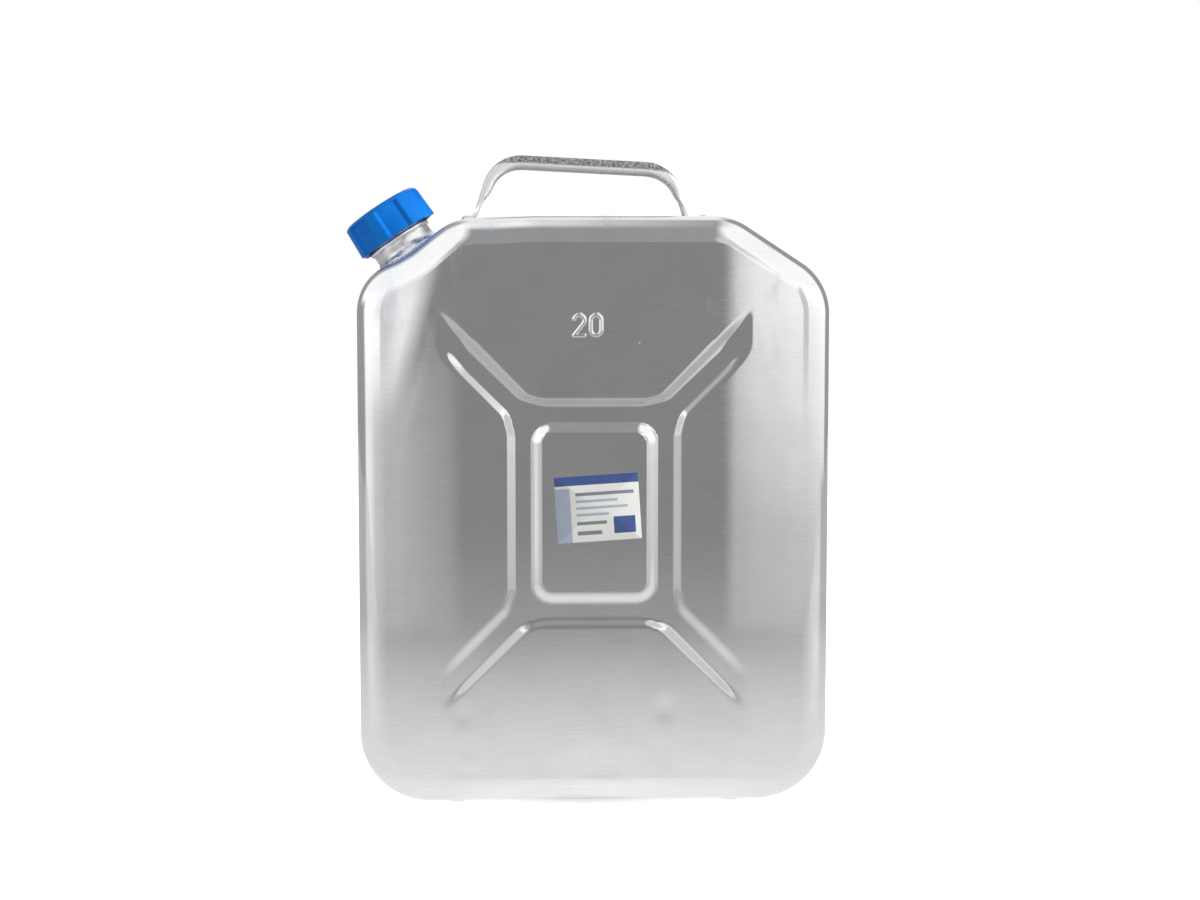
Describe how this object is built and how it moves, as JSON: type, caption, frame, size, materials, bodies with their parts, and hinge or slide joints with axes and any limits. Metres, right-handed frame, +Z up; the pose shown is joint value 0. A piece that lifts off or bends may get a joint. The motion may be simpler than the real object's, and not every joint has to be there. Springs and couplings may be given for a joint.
{
  "type": "jerry can",
  "caption": "Welded aluminium jerry can with a pressed X on both broad sides, a slanted filler neck under a blue fluted screw cap, and a fixed sheet handle on top",
  "frame": {"origin": "bottom centre of the bounding box, on the plane of the feet", "axes": "+X to the right seen from the front, the neck and cap are on the -X shoulder; +Y to the rear, the labelled broad side faces -Y; +Z up"},
  "size_m": [0.3644, 0.1504, 0.4883],
  "materials": {
    "sheet": "rolled sheet, dull bright",
    "weld": "rippled weld",
    "neck_metal": "turned, bright",
    "strap": "mottled sheet",
    "cap_plastic": "satin moulded",
    "gasket_rubber": "matt",
    "label_paper": "printed, satin"
  },
  "bodies": {
    "can": {"front_shell": "sheet", "rear_shell": "sheet", "seam_weld": "weld", "seam_weld_top": "weld", "filler_neck": "neck_metal", "neck_weld": "weld", "handle": "strap", "handle_weld_left": "weld", "handle_weld_right": "weld", "foot_front_left": "sheet", "foot_front_right": "sheet", "foot_rear_left": "sheet", "foot_rear_right": "sheet", "label": "label_paper"},
    "seal": {"cap_gasket": "gasket_rubber"},
    "cap": {"cap": "cap_plastic"}
  },
  "joints": [
    {"name": "cap_rise", "type": "slide", "parent": "can", "child": "seal", "axis": [-0.5494, 0, 0.8356], "range_m": [0, 0.0245]},
    {"name": "cap_turn", "type": "hinge", "parent": "seal", "child": "cap", "pos_m": [-0.13477, 0.0002, 0.41474], "axis": [-0.5494, 0, 0.8356], "range_deg": [0, 1440]}
  ],
  "couplings": [
    {"joint": "cap_rise", "follows": "cap_turn", "m_per_rad": 0.00095493}
  ]
}
